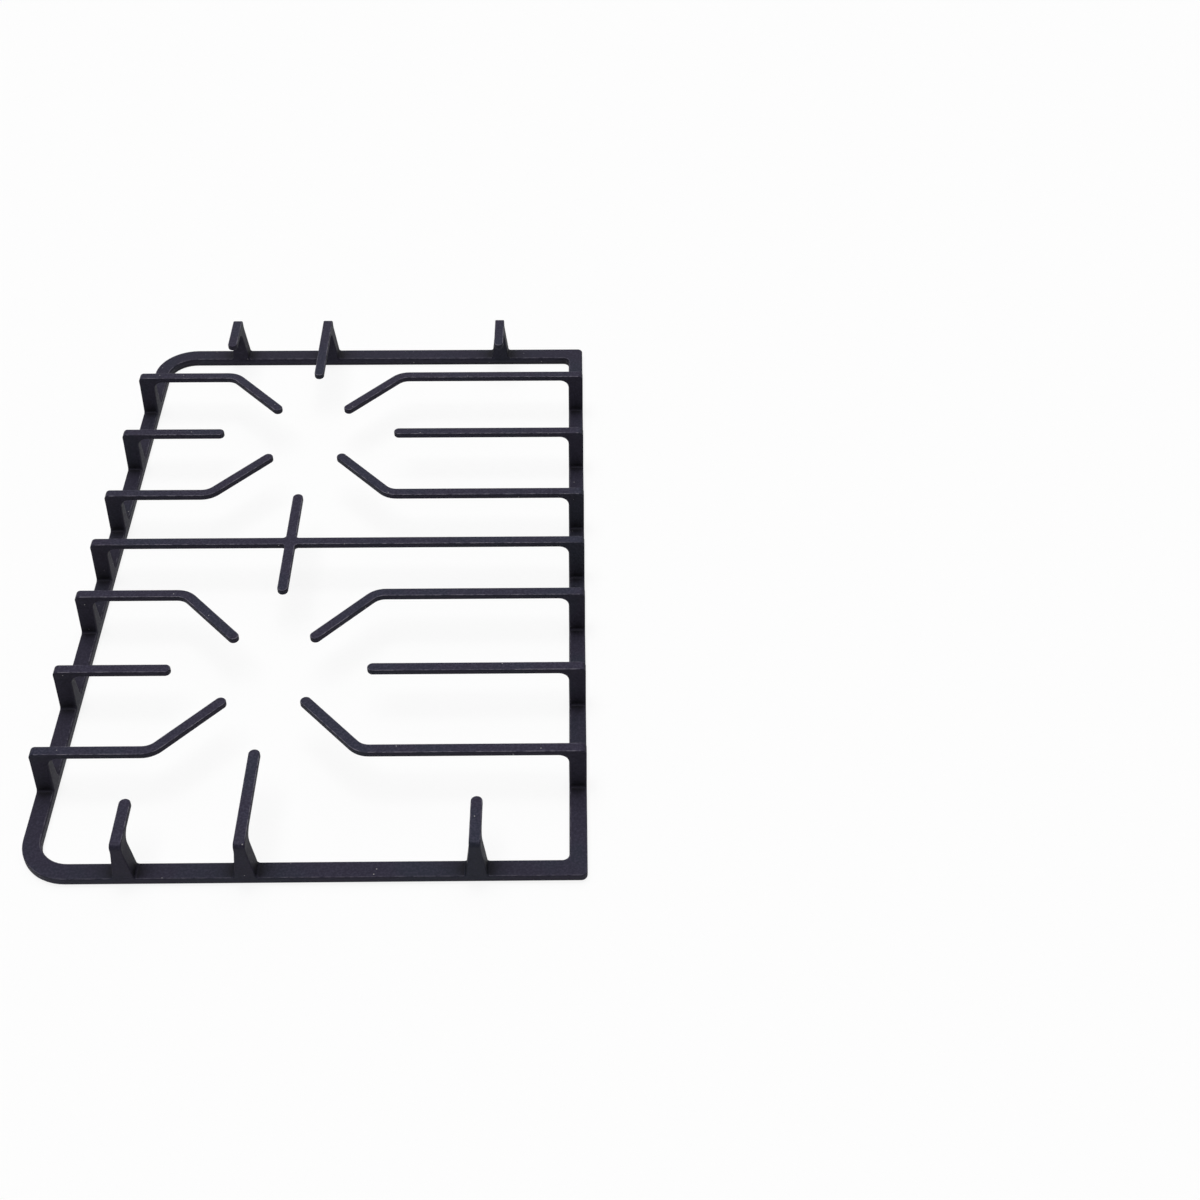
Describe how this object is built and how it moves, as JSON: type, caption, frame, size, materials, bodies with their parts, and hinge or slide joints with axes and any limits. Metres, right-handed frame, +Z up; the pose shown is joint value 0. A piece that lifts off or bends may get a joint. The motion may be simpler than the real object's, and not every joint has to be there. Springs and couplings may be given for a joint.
{
  "type": "range grate",
  "caption": "Cast iron range grate: a flat ring rail with posts that carry bent and straight fingers over a front and a back burner.",
  "frame": {"origin": "middle of the rectangle that the grate covers, on the surface it lies on", "axes": "+X from the outer side with the large round corners to the inner side with the square corners, +Y from the cook to the back, +Z up"},
  "size_m": [0.306, 0.48, 0.0324],
  "materials": {
    "enamelled_iron": "satin-matte charcoal porcelain enamel over a finely grained casting"
  },
  "bodies": {
    "root": {"grate": "enamelled_iron"}
  },
  "joints": []
}
